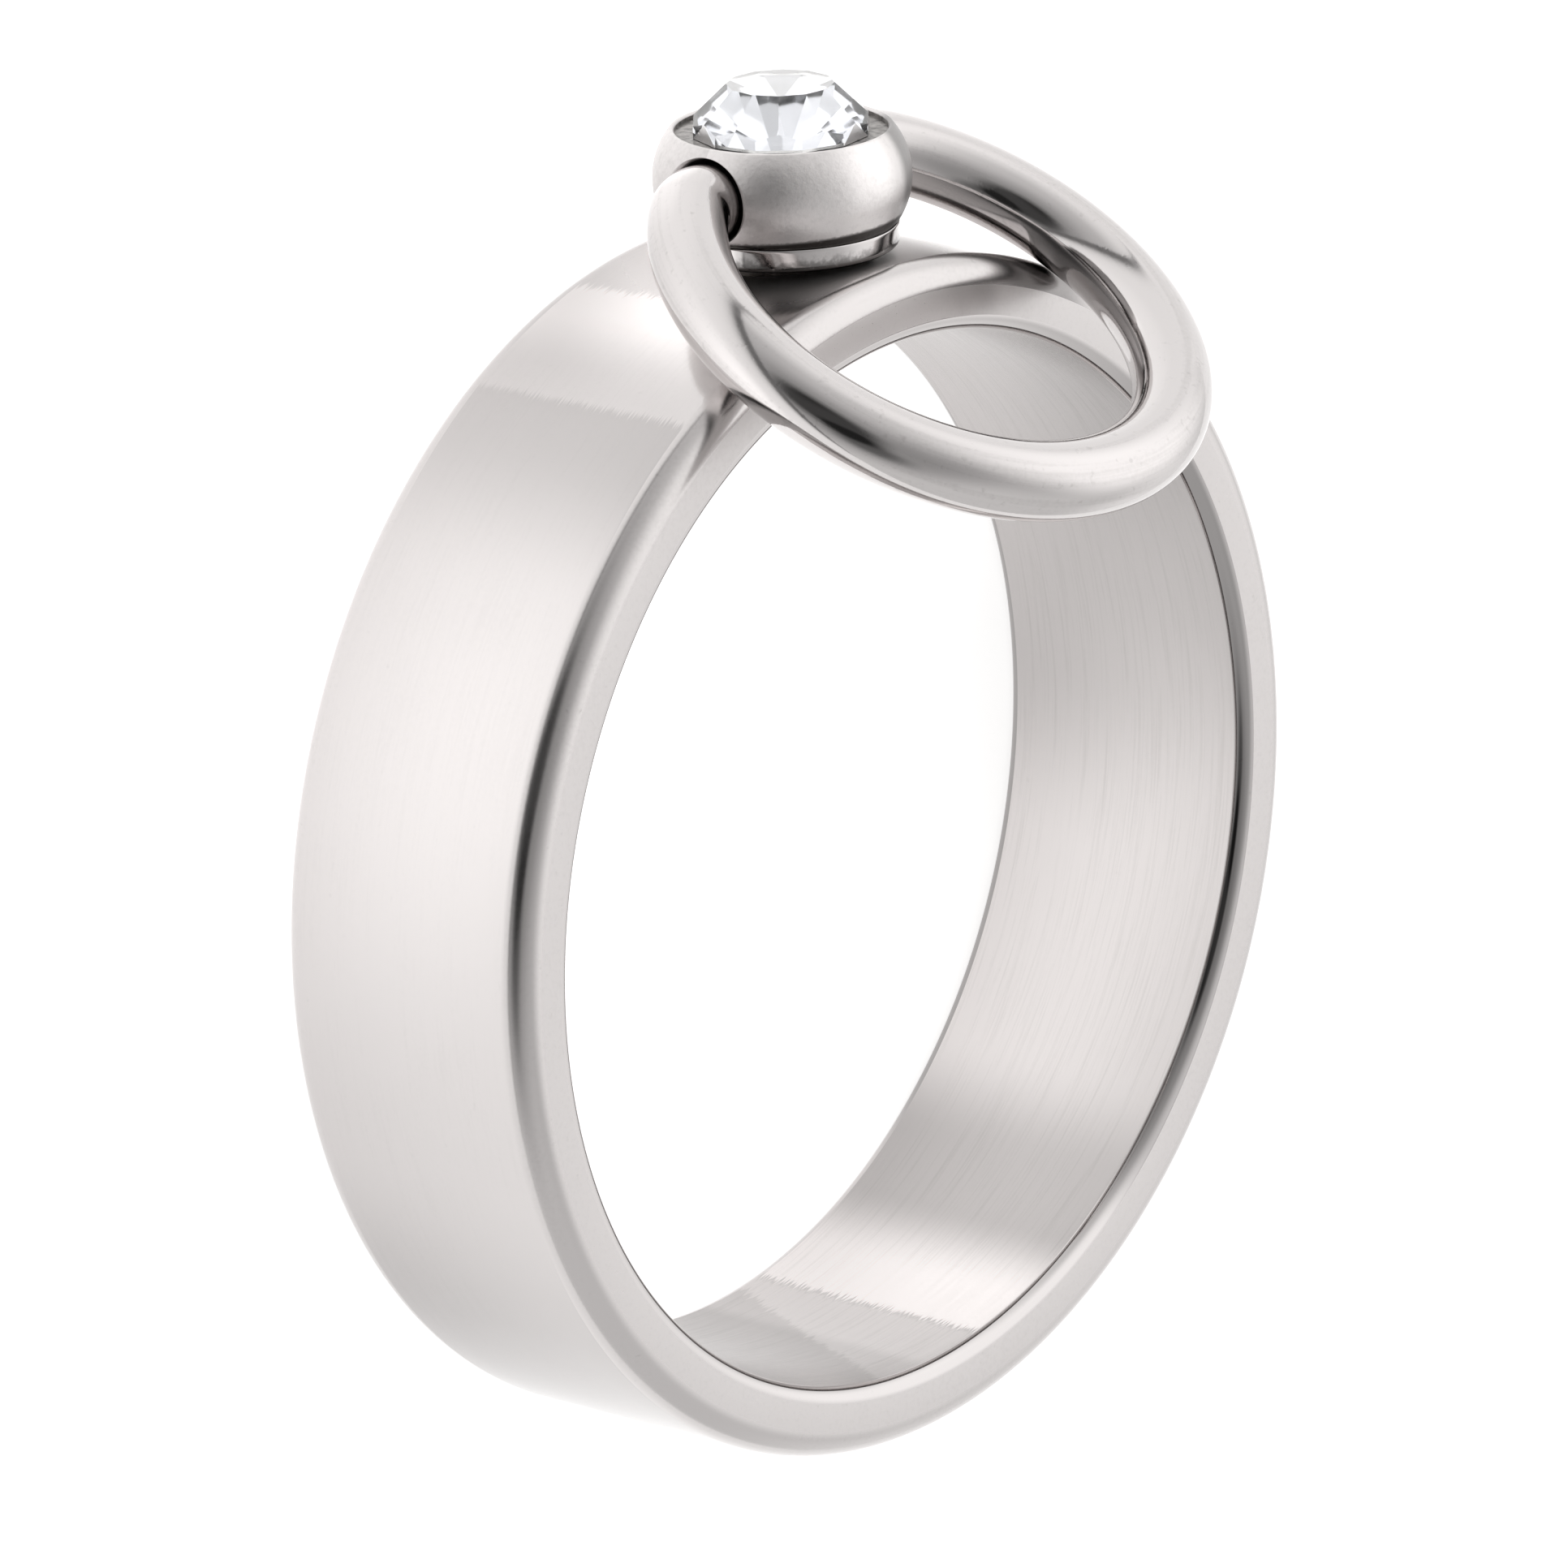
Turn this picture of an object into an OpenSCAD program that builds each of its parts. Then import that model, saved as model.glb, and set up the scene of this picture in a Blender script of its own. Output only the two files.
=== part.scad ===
// Finger ring with a crystal in a bezel cup and a loose wire loop hinged in the cup's sides.
// The ring lies on its side: the band's axis is Z, the floor is the plane of its lower face, and the
// cup stands out along +Y. The origin is the centre of the finger hole, halfway along the band.

/* [Band] */
// Inside diameter of the band, where the finger goes
finger_d = 17.4; // [15:0.1:17.4]
// Thickness of the band's metal
band_wall = 1.2; // [1:0.05:1.2]
// Width of the band along the finger
band_w = 5.05; // [4.5:0.05:5.05]
// Rounding of the band's two outer edges
outer_edge_r = 0.46; // [0.46:0.01:0.55]
// Rounding of the band's two inner edges
inner_edge_r = 0.25; // [0.1:0.05:0.3]

/* [Setting cup] */
// Widest diameter of the bowl
cup_d = 4.18; // [4.1:0.02:4.3]
// Radius of the bowl's bulging side
bulge_r = 1.28; // [1.24:0.01:1.32]
// Height of the bowl from its lower edge to its rim
bowl_h = 1.54; // [1.5:0.01:1.58]
// Height of the bowl's widest place above its lower edge
belly_h = 0.72; // [0.68:0.01:0.76]
// Diameter of the cavity that the crystal sits in
cavity_d = 3.44; // [3.3:0.02:3.48]
// Depth of the cavity from the rim to the crystal's seat
cavity_depth = 0.1; // [0.08:0.01:0.12]
// Radius of the rim's rounded inner lip
lip_r = 0.05; // [0.03:0.01:0.06]
// Diameter of the foot under the bowl
foot_d = 3.74; // [3.6:0.02:3.76]
// Height of the foot
foot_h = 0.39; // [0.3:0.01:0.5]
// Rounding of the foot's lower edge
foot_edge_r = 0.1; // [0.05:0.01:0.15]
// Height of the seam between the foot and the bowl
seam_h = 0.03; // [0.02:0.01:0.05]
// Depth of the seam between the foot and the bowl
seam_depth = 0.04; // [0.02:0.01:0.08]
// Gap between the top of the band and the foot's flat underside
foot_gap = 0.06; // [0.04:0.01:0.1]
// Diameter of the neck that joins the foot to the band
neck_d = 2.9; // [2:0.1:3.2]

/* [Loop and its holes] */
// Outside diameter of the loop
loop_d = 9.61; // [9.55:0.01:9.65]
// Diameter of the loop's wire
wire_d = 1.29; // [1.25:0.01:1.29]
// Radius of the bend where each end turns into the cup, on the wire's centre line
bend_r = 0.7; // [0.68:0.01:0.75]
// Height of the hinge line above the bowl's lower edge
hinge_h = 0.68; // [0.66:0.01:0.68]
// Angle that the loop leans over the band; at the largest it rests on the band's edge
lean = 29.8; // [20:0.1:29.8]
// Diameter of the cup's two side holes
hole_d = 1.4; // [1.36:0.01:1.42]
// Distance from the crown's axis to a side hole's flat bottom
hole_bottom = 1.2; // [1.1:0.05:1.3]
// Radius of a side hole's rounded mouth
mouth_r = 0.12; // [0.1:0.01:0.15]
// Gap between a wire end and the bottom of its hole
end_gap = 0.05; // [0.03:0.01:0.1]

/* [Crystal] */
// Number of facets around the crystal
facets = 12; // [8:1:16]
// Diameter of the crystal across its facet tips
crystal_d = 2.9; // [2.6:0.05:3.1]
// Diameter of the crystal's table across its corners
table_d = 1.75; // [1.4:0.05:1.9]
// Height of the crystal's table above its seat face
crystal_h = 0.8; // [0.7:0.01:1]
// Height of the crystal's upright edge above its seat face, at the facet tips
girdle_h = 0.2; // [0.1:0.01:0.2]
// Height of the notches between the facets above the crystal's seat face
notch_h = 0.3; // [0.3:0.01:0.35]
// Diameter of the crystal's pointed back across its corners
point_d = 2.36; // [2:0.02:2.36]
// Height of the crystal's pointed back, below its seat face
point_h = 0.69; // [0.6:0.01:0.75]
// Extra radius of the recess that takes the pointed back
point_clearance = 0.01; // [0.01:0.005:0.015]
// Turn of the crystal about the crown's axis, in degrees
crystal_turn = 7.7; // [0:0.1:30]
// Gap between the crystal's seat face and its seat
crystal_gap = 0.01; // [0.01:0.01:0.03]

/* [Hidden] */
$fn = 96;

finger_r = finger_d / 2;
band_r = finger_r + band_wall;
band_half_w = band_w / 2;

// Heights along the crown's axis, from the ring's centre
foot_z = band_r + foot_gap;
seam_z = foot_z + foot_h;
bowl_z = seam_z + seam_h;
belly_z = bowl_z + belly_h;
rim_z = bowl_z + bowl_h;
seat_z = rim_z - cavity_depth;
hinge_z = bowl_z + hinge_h;
crystal_z = seat_z + crystal_gap;

cup_r = cup_d / 2;
cavity_r = cavity_d / 2;
foot_r = foot_d / 2;
bulge_x = cup_r - bulge_r;
// The lip is a small circle that touches the bulge's circle from inside and the cavity's wall
lip_x = cavity_r + lip_r;
lip_z = belly_z + sqrt(pow(bulge_r - lip_r, 2) - pow(lip_x - bulge_x, 2));

// The wire's centre line: an arc, a bend at each end and two straight ends on the hinge line.
// The centres of the arc and of a bend are the corners of a triangle with sides 3, 4 and 5.
wire_r = wire_d / 2;
hole_r = hole_d / 2;
loop_r = loop_d / 2 - wire_r;
bend_x = (loop_r - bend_r) * 3 / 5;
loop_rise = bend_r + (loop_r - bend_r) * 4 / 5;
bend_angle = atan2(4, 3);
wire_end = hole_bottom + end_gap;
// The side hole's mouth starts to widen here, and reaches the cup's skin where it is widest
mouth_x = sqrt(pow(cup_r, 2) - pow(hole_r + mouth_r, 2)) - mouth_r;

facet_turn = 360 / facets;
table_r = table_d / 2;
crystal_r = crystal_d / 2;
table_side = table_r * cos(facet_turn / 2);
girdle_side = crystal_r * cos(facet_turn / 2);
facet_slope = (crystal_r - table_side) / (crystal_h - girdle_h);
notch_r = (table_side + facet_slope * (crystal_h - notch_h)) / cos(facet_turn / 2);
point_r = point_d / 2;
// How far the pointed back runs on into the crystal
point_run = 0.05;
recess_r = point_r + point_clearance;
recess_h = point_h * recess_r / point_r;

// Stands its children up on the band: their Z axis becomes the crown's axis, along +Y
module on_crown() {
  rotate([-90, 0, 0])
    children();
}

// Half of the band's cross-section, above its middle
module half_band_section() {
  translate([finger_r, 0])
    square([band_wall - outer_edge_r, band_half_w - inner_edge_r]);
  translate([finger_r + inner_edge_r, 0])
    square([band_wall - inner_edge_r - outer_edge_r, band_half_w]);
  translate([band_r - outer_edge_r, 0])
    square([outer_edge_r, band_half_w - outer_edge_r]);
  translate([finger_r + inner_edge_r, band_half_w - inner_edge_r])
    circle(r = inner_edge_r);
  translate([band_r - outer_edge_r, band_half_w - outer_edge_r])
    circle(r = outer_edge_r);
}

module band() {
  rotate_extrude($fn = 240) {
    half_band_section();
    mirror([0, 1])
      half_band_section();
  }
}

module foot() {
  translate([0, 0, foot_z - band_wall])
    cylinder(d = neck_d, h = band_wall + foot_edge_r);
  translate([0, 0, seam_z - foot_edge_r])
    cylinder(r = foot_r - seam_depth, h = seam_h + 2 * foot_edge_r);
  rotate_extrude() {
    translate([0, foot_z + foot_edge_r])
      square([foot_r, foot_h - foot_edge_r]);
    translate([0, foot_z])
      square([foot_r - foot_edge_r, foot_edge_r]);
    translate([foot_r - foot_edge_r, foot_z + foot_edge_r])
      circle(r = foot_edge_r);
  }
}

// The bowl is solid up to the seat, but for a pointed recess, with a thin wall round the crystal above it
module bowl_section() {
  difference() {
    intersection() {
      translate([bulge_x, belly_z])
        circle(r = bulge_r, $fn = 180);
      translate([0, bowl_z])
        square([cup_r + 1, lip_z - bowl_z]);
    }
    translate([-1, seat_z])
      square([cavity_r + 1, cavity_depth + 1]);
    polygon([[0, seat_z - recess_h], [recess_r, seat_z], [0, seat_z]]);
  }
}

module bowl() {
  rotate_extrude($fn = 144)
    bowl_section();
  rotate_extrude($fn = 144)
    translate([lip_x, lip_z])
      circle(r = lip_r);
}

// One side hole with its rounded mouth, along +X from the crown's axis
module side_hole() {
  translate([0, 0, hinge_z])
    rotate([0, 90, 0]) {
      translate([0, 0, hole_bottom])
        cylinder(r = hole_r, h = cup_r);
      rotate_extrude()
        difference() {
          translate([0, mouth_x])
            square([hole_r + mouth_r, cup_r]);
          translate([hole_r + mouth_r, mouth_x])
            circle(r = mouth_r);
        }
    }
}

module band_and_setting() {
  color([0.78, 0.77, 0.76])
    difference() {
      union() {
        band();
        on_crown()
          foot();
        on_crown()
          bowl();
      }
      on_crown()
        side_hole();
      on_crown()
        mirror([1, 0, 0])
          side_hole();
    }
}

// Takes away what lies outside a facet that faces the angle turn; top and foot are [radius, height]
module facet_cut(turn, top, foot) {
  rotate([0, 0, turn])
    translate([top[0], 0, top[1]])
      rotate([0, -atan2(foot[0] - top[0], top[1] - foot[1]), 0])
        translate([0, -crystal_d, -crystal_d])
          cube(2 * crystal_d);
}

// The pointed back, which runs on a little way into the crystal
module pointed_back() {
  translate([0, 0, -point_h])
    cylinder(r1 = 0, r2 = point_r * (1 + point_run / point_h), h = point_h + point_run, $fn = facets);
}

module crystal() {
  color([0.9, 0.93, 0.97])
    on_crown()
      translate([0, 0, crystal_z])
        rotate([0, 0, crystal_turn])
          difference() {
            rotate([0, 0, facet_turn / 2]) {
              cylinder(r = crystal_r, h = crystal_h, $fn = facets);
              pointed_back();
            }
            for (k = [0 : facets - 1]) {
              facet_cut((k + 0.5) * facet_turn, [table_side, crystal_h], [crystal_r, girdle_h]);
              facet_cut(k * facet_turn, [notch_r, notch_h], [girdle_side, girdle_h]);
            }
          }
}

// Part of a ring of wire, from the angle start round by the angle sweep
module wire_arc(radius, start, sweep) {
  rotate_extrude(angle = sweep, start = start, $fn = 180)
    translate([radius, 0])
      circle(r = wire_r, $fn = 48);
}

// Half of the loop in its own plane: the hinge line is the X axis, and the loop lies towards +Y.
// Its arc runs a little past the middle, into the other half.
module half_loop() {
  translate([wire_end, 0, 0])
    rotate([0, 90, 0])
      cylinder(r = wire_r, h = bend_x - wire_end, $fn = 48);
  translate([bend_x, bend_r, 0])
    wire_arc(bend_r, -90, 90 - bend_angle);
  translate([0, loop_rise, 0])
    wire_arc(loop_r, -bend_angle, ceil(90 + bend_angle));
}

module loop() {
  color([0.74, 0.73, 0.72])
    on_crown()
      translate([0, 0, hinge_z])
        rotate([180 + lean, 0, 0]) {
          half_loop();
          mirror([1, 0, 0])
            half_loop();
        }
}

band_and_setting();
crystal();
loop();
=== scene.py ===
import math
import bmesh
import bpy
import numpy as np
from mathutils import Matrix, Vector


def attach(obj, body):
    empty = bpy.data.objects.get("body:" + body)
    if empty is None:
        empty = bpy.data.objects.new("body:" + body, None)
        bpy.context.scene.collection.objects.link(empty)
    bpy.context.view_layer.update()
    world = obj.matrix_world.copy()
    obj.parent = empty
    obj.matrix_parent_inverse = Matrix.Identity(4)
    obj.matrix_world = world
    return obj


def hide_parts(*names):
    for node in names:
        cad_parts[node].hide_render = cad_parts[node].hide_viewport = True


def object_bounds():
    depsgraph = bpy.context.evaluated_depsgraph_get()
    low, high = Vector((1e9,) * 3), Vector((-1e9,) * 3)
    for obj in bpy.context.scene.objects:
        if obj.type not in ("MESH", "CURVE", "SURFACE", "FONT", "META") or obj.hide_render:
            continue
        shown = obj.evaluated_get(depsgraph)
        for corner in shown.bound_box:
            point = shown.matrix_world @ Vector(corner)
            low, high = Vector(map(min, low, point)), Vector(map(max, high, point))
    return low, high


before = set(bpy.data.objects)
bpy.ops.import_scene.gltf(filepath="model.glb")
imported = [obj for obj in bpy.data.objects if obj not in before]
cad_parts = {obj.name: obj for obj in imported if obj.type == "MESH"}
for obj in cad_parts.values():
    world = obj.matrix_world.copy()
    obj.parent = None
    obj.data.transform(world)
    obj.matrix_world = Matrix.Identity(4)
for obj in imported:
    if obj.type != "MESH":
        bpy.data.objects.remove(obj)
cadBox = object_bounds()
floorZ = cadBox[0].z  # the band's lower side face, which lies on the floor
print("scene: the packed ring is loaded")

# The ring is described standing up, crown on top (x right, y away, z up), and then laid on its side.
# Lengths in the dictionaries are millimetres and angles are degrees.
mm = 0.001
micron = 1e-6
samePoint = 1e-6  # in mm: points of a profile that are closer than this are one point
sameVertex = 1e-8  # in metres: the same for a mesh
onSurface = 1e-3  # in mm: how far the middle of a face may be from the surface that it belongs to


def laidDown(points):
    # the standing ring laid on its side: (x, y, z) becomes (x, z, -y), and mm become metres
    return np.stack([points[..., 0], points[..., 2], -points[..., 1]], axis=-1) * mm


def stoodUp(points):
    # the way back: (x, y, z) becomes (x, -z, y), and metres become mm
    return np.stack([points[..., 0], -points[..., 2], points[..., 1]], axis=-1) / mm


def arc(centre, radius, start, end, steps):
    # points on a circle round centre, from the angle start to the angle end
    a = np.radians(np.linspace(start, end, steps + 1))
    return np.stack([centre[0] + radius * np.cos(a), centre[1] + radius * np.sin(a)], axis=-1)


def straight(a, b, steps):
    # points evenly spaced on the line from a to b
    t = np.linspace(0, 1, steps + 1)[:, None]
    return (1 - t) * np.array(a, float) + t * np.array(b, float)


def joined(*parts):
    # profile stretches put end to end, without the points that repeat
    points = np.concatenate([np.atleast_2d(np.array(p, float)) for p in parts])
    apart = np.hypot(*np.diff(points, axis=0).T) > samePoint
    return points[np.concatenate([[True], apart])]


def turned(profile, segments):
    # a profile of (radius, height) turned round Z: (r cos a, r sin a, h), one row for each angle a
    a = np.linspace(0, 2 * math.pi, segments, endpoint=False)[:, None]
    r, h = profile[:, 0], profile[:, 1]
    return np.stack([r * np.cos(a), r * np.sin(a), h + 0 * a], axis=-1)


def gridFaces(rows, columns, closeRows, closeColumns):
    # four-sided faces between neighbouring points of a grid, which may wrap round either way
    i = np.arange(rows if closeRows else rows - 1)[:, None]
    j = np.arange(columns if closeColumns else columns - 1)[None, :]
    i2, j2 = (i + 1) % rows, (j + 1) % columns
    quads = [i * columns + j, i2 * columns + j, i2 * columns + j2, i * columns + j2]
    return np.stack([np.broadcast_to(q, np.broadcast(i, j).shape) for q in quads], axis=-1).reshape(-1, 4)


def gridPiece(name, grid, closeRows, closeColumns):
    # a grid of points made into a mesh object, with its double points merged and its faces smooth
    mesh = bpy.data.meshes.new(name)
    faces = gridFaces(grid.shape[0], grid.shape[1], closeRows, closeColumns)
    mesh.from_pydata(grid.reshape(-1, 3).tolist(), [], faces.tolist())
    piece = bpy.data.objects.new(name, mesh)
    bpy.context.scene.collection.objects.link(piece)
    form = bmesh.new()
    form.from_mesh(mesh)
    bmesh.ops.remove_doubles(form, verts=form.verts, dist=sameVertex)
    bmesh.ops.recalc_face_normals(form, faces=form.faces)
    form.to_mesh(mesh)
    form.free()
    mesh.shade_smooth()
    return piece


def pointsOf(piece):
    # every point of a mesh, in mm on the standing ring's axes
    points = np.empty(len(piece.data.vertices) * 3)
    piece.data.vertices.foreach_get("co", points)
    return stoodUp(points.reshape(-1, 3))


def facesOf(piece):
    # the middle of every face in mm, and its normal, both on the standing ring's axes
    middle = np.empty(len(piece.data.polygons) * 3)
    normal = np.empty(len(piece.data.polygons) * 3)
    piece.data.polygons.foreach_get("center", middle)
    piece.data.polygons.foreach_get("normal", normal)
    return stoodUp(middle.reshape(-1, 3)), stoodUp(normal.reshape(-1, 3)) * mm


def painted(piece, index):
    # index says for each face which of the piece's materials it has
    piece.data.polygons.foreach_set("material_index", index.astype(np.int32))


def dressed(piece, body, node, slotName, *materials):
    # a finished piece gets its materials and the body it moves with, and the CAD node it stands for is
    # hidden
    for material in materials:
        piece.data.materials.append(material)
    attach(piece, body)
    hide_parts(node)


# The camera, as it stands to the ring in the photo

cameraSetup = {
    "azimuth": 50.33, "elevation": 17.53, "roll": -1.385, "distance": 205.08,
    "aimX": -0.326, "aimZ": 0.945,
    "focalPixels": 15541, "imagePixels": 1932, "sensor": 36,
    "nearest": 5, "farthest": 20000,
}


def makeCamera():
    c = cameraSetup
    a, e, roll = (math.radians(c[k]) for k in ("azimuth", "elevation", "roll"))
    back = np.array([-math.sin(a) * math.cos(e), -math.cos(a) * math.cos(e), math.sin(e)])
    place = back * c["distance"] + np.array([c["aimX"], 0, c["aimZ"]])
    side = np.cross(-back, [0, 0, 1])
    side /= np.linalg.norm(side)
    top = np.cross(side, -back)
    right = side * math.cos(roll) + top * math.sin(roll)
    up = top * math.cos(roll) - side * math.sin(roll)
    axes = laidDown(np.array([right, up, back])) / mm
    data = bpy.data.cameras.new("camera")
    data.sensor_width = c["sensor"]
    data.lens = c["focalPixels"] * c["sensor"] / c["imagePixels"]
    data.clip_start = c["nearest"] * mm
    data.clip_end = c["farthest"] * mm
    camera = bpy.data.objects.new("camera", data)
    bpy.context.scene.collection.objects.link(camera)
    camera.matrix_world = Matrix.Translation(Vector(laidDown(place))) @ Matrix(axes.T.tolist()).to_4x4()
    bpy.context.scene.camera = camera


makeCamera()
print("scene: camera")


# Materials: small steps for building their node trees

def link(tree, source, target):
    tree.links.new(source, target)


def addNode(tree, kind, **settings):
    node = tree.nodes.new(kind)
    for key, value in settings.items():
        setattr(node, key, value)
    return node


def setOrLink(tree, value, socket):
    # value is a number or another node's output
    if isinstance(value, (int, float)):
        socket.default_value = value
    else:
        link(tree, value, socket)


def mathNode(tree, operation, *values):
    node = addNode(tree, "ShaderNodeMath", operation=operation)
    for socket, value in zip(node.inputs, values):
        setOrLink(tree, value, socket)
    return node.outputs[0]


def addedUp(tree, total, *terms):
    # total plus value times amount, for each term (value, amount)
    for value, amount in terms:
        total = mathNode(tree, "MULTIPLY_ADD", value, amount, total)
    return total


def ramp(tree, value, start, end, low=0, high=1):
    # a smooth step from low to high while value goes from start to end
    node = addNode(tree, "ShaderNodeMapRange", interpolation_type="SMOOTHSTEP")
    amounts = {"Value": value, "From Min": start, "From Max": end, "To Min": low, "To Max": high}
    for key, amount in amounts.items():
        setOrLink(tree, amount, node.inputs[key])
    return node.outputs[0]


def mixedColour(tree, amount, first, second):
    # first where amount is 0 and second where it is 1; first is a colour or another node's output
    node = addNode(tree, "ShaderNodeMix", data_type="RGBA")
    link(tree, amount, node.inputs["Factor"])
    if isinstance(first, tuple):
        node.inputs["A"].default_value = (*first, 1)
    else:
        link(tree, first, node.inputs["A"])
    node.inputs["B"].default_value = (*second, 1)
    return node.outputs["Result"]


def splitPoint(tree, point):
    node = addNode(tree, "ShaderNodeSeparateXYZ")
    link(tree, point, node.inputs[0])
    return node.outputs["X"], node.outputs["Y"], node.outputs["Z"]


def noise(tree, vector, stretch, detail, roughness=0.5):
    # noise read at the point times stretch, so that a small factor draws it out along that axis
    scaled = addNode(tree, "ShaderNodeVectorMath", operation="MULTIPLY")
    scaled.inputs[1].default_value = stretch
    link(tree, vector, scaled.inputs[0])
    node = addNode(tree, "ShaderNodeTexNoise")
    node.inputs["Scale"].default_value = 1
    node.inputs["Detail"].default_value = detail
    node.inputs["Roughness"].default_value = roughness
    link(tree, scaled.outputs[0], node.inputs["Vector"])
    return node.outputs[0]


def newMaterial(name):
    # a material with its tree, its shader and the point on the object that the shader is looking at
    material = bpy.data.materials.new(name)
    material.use_nodes = True
    tree = material.node_tree
    point = addNode(tree, "ShaderNodeTexCoord").outputs["Object"]
    return material, tree, tree.nodes["Principled BSDF"], point


# The effects that several materials share, each a node group

# how many times a pattern changes in a metre, along x, y and z
patterns = {
    "brushFine": (600, 600, 26000), "brushWide": (260, 260, 9000),  # brushed round the band
    "drawnFine": (16000, 16000, 500), "drawnWide": (5000, 5000, 120),  # outwards, across, along the wire
    "grain": (14000, 14000, 14000), "pits": (6500, 6500, 6500), "haze": (330, 330, 330),
    "blotches": (9000, 9000, 9000), "glassMarks": (2600, 2600, 2600), "paper": (900, 900, 900),
}


def newGroup(name, inputs, outputs):
    # an input whose value is None is a vector, and every other socket is a number
    group = bpy.data.node_groups.new(name, "ShaderNodeTree")
    for key, value in inputs.items():
        kind = "NodeSocketVector" if value is None else "NodeSocketFloat"
        socket = group.interface.new_socket(name=key, in_out="INPUT", socket_type=kind)
        if value is not None:
            socket.default_value = value
    for key in outputs:
        group.interface.new_socket(name=key, in_out="OUTPUT", socket_type="NodeSocketFloat")
    return group, addNode(group, "NodeGroupInput").outputs, addNode(group, "NodeGroupOutput").inputs


def makeLineGroup(name, fineStretch, wideStretch):
    # fine lines and wider streaks: noise that hardly changes along them and changes fast across
    group, given, result = newGroup(name, {"Point": None}, ["Lines", "Streaks"])
    fine = noise(group, given["Point"], fineStretch, 2, 0.6)
    wide = noise(group, given["Point"], wideStretch, 2)
    link(group, mathNode(group, "SUBTRACT", fine, 0.5), result["Lines"])
    link(group, mathNode(group, "SUBTRACT", wide, 0.5), result["Streaks"])
    return group


def makeSpeckGroup():
    # small pits and specks of polishing compound, and a slow haze where fingers and cloth have been
    inputs = {"Point": None, "Pit share": 0.3}
    group, given, result = newGroup("specksAndHaze", inputs, ["Pits", "Grain", "Haze"])
    grain = noise(group, given["Point"], patterns["grain"], 3, 0.6)
    coarse = noise(group, given["Point"], patterns["pits"], 2)
    haze = noise(group, given["Point"], patterns["haze"], 3)
    link(group, ramp(group, coarse, 0.2, given["Pit share"], 1, 0), result["Pits"])  # where coarse is low
    link(group, mathNode(group, "SUBTRACT", grain, 0.5), result["Grain"])
    link(group, mathNode(group, "SUBTRACT", haze, 0.5), result["Haze"])
    return group


def makeReflectionZoneGroup():
    # A painted reflection: a lighter or darker zone by the angle round the ring: none before Edge, whole
    # from Full to Hold, none after Fade. For each mm along the axis, Slant turns it by so many degrees
    # and Tilt makes it so much stronger. Its start follows the brush lines, so a sharp start is frayed by
    # as much as Fray.
    inputs = {
        "Point": None, "Lines": 0.0, "Edge": 0.0, "Full": 1.0, "Hold": 2.0, "Fade": 3.0,
        "Slant": 0.0, "Fray": 0.0, "Tilt": 0.0,
    }
    group, given, result = newGroup("paintedReflectionZone", inputs, ["Amount"])
    x, y, z = splitPoint(group, given["Point"])
    along = mathNode(group, "MULTIPLY", z, 1 / mm)
    turn = mathNode(group, "MULTIPLY", mathNode(group, "ARCTAN2", y, x), math.degrees(1))
    turn = addedUp(group, turn, (along, given["Slant"]))
    frayed = addedUp(group, turn, (given["Lines"], given["Fray"]))
    rise = ramp(group, frayed, given["Edge"], given["Full"])
    fall = ramp(group, turn, given["Fade"], given["Hold"])
    tilt = addedUp(group, 1, (along, given["Tilt"]))
    amount = mathNode(group, "MULTIPLY", mathNode(group, "MULTIPLY", rise, fall), tilt)
    link(group, amount, result["Amount"])
    return group


def makeUnpolishedGroup():
    # the band close to the foot, where the polishing wheel doesn't reach: whole within Inner of the
    # crown's axis and none beyond Outer, on the crown's side of the band only
    group, given, result = newGroup("besideFoot", {"Point": None, "Inner": 0.0, "Outer": 1.0}, ["Amount"])
    x, y, z = splitPoint(group, given["Point"])
    away = mathNode(group, "SQRT", addedUp(group, 0, (x, x), (z, z)))
    near = ramp(group, away, given["Outer"], given["Inner"])
    crownSide = ramp(group, y, 0, 4 * mm)
    link(group, mathNode(group, "MULTIPLY", near, crownSide), result["Amount"])
    return group


raggedShade = {"blotches": 1.6, "from": 0.1, "to": 0.75}


def makeCornerShadeGroup():
    # painted shade and dark reflection in the seam, on the foot and at the bowl's edge: the attribute of
    # paintShadeOnCup, broken up by blotches
    group, given, result = newGroup("cornerShade", {"Point": None}, ["Mask"])
    paintedShade = addNode(group, "ShaderNodeAttribute", attribute_name="paintedShade").outputs["Fac"]
    blotches = noise(group, given["Point"], patterns["blotches"], 3, 0.6)
    spread = addedUp(group, paintedShade, (mathNode(group, "SUBTRACT", blotches, 0.5), raggedShade["blotches"]))
    ragged = ramp(group, spread, raggedShade["from"], raggedShade["to"])
    link(group, mathNode(group, "MULTIPLY", paintedShade, ragged), result["Mask"])
    return group


brushLines = makeLineGroup("brushLines", patterns["brushFine"], patterns["brushWide"])
drawnLines = makeLineGroup("drawnLines", patterns["drawnFine"], patterns["drawnWide"])
specksAndHaze = makeSpeckGroup()
paintedReflectionZone = makeReflectionZoneGroup()
besideFoot = makeUnpolishedGroup()
cornerShade = makeCornerShadeGroup()


# Steel

steelColours = {
    # brushedShaded: the brushed inside is painted darker than the base steel, as shade
    "base": (0.587, 0.563, 0.558), "brushedShaded": (0.5, 0.478, 0.473), "drawn": (0.63, 0.605, 0.6),
    "frosted": (0.71, 0.685, 0.68), "dull": (0.34, 0.325, 0.315), "cast": (0.36, 0.345, 0.335),
    # paintedShade is the near-black of painted shade and dark reflection on the cup
    "black": (0.12, 0.115, 0.11), "paintedShade": (0.05, 0.045, 0.042),
}

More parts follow.
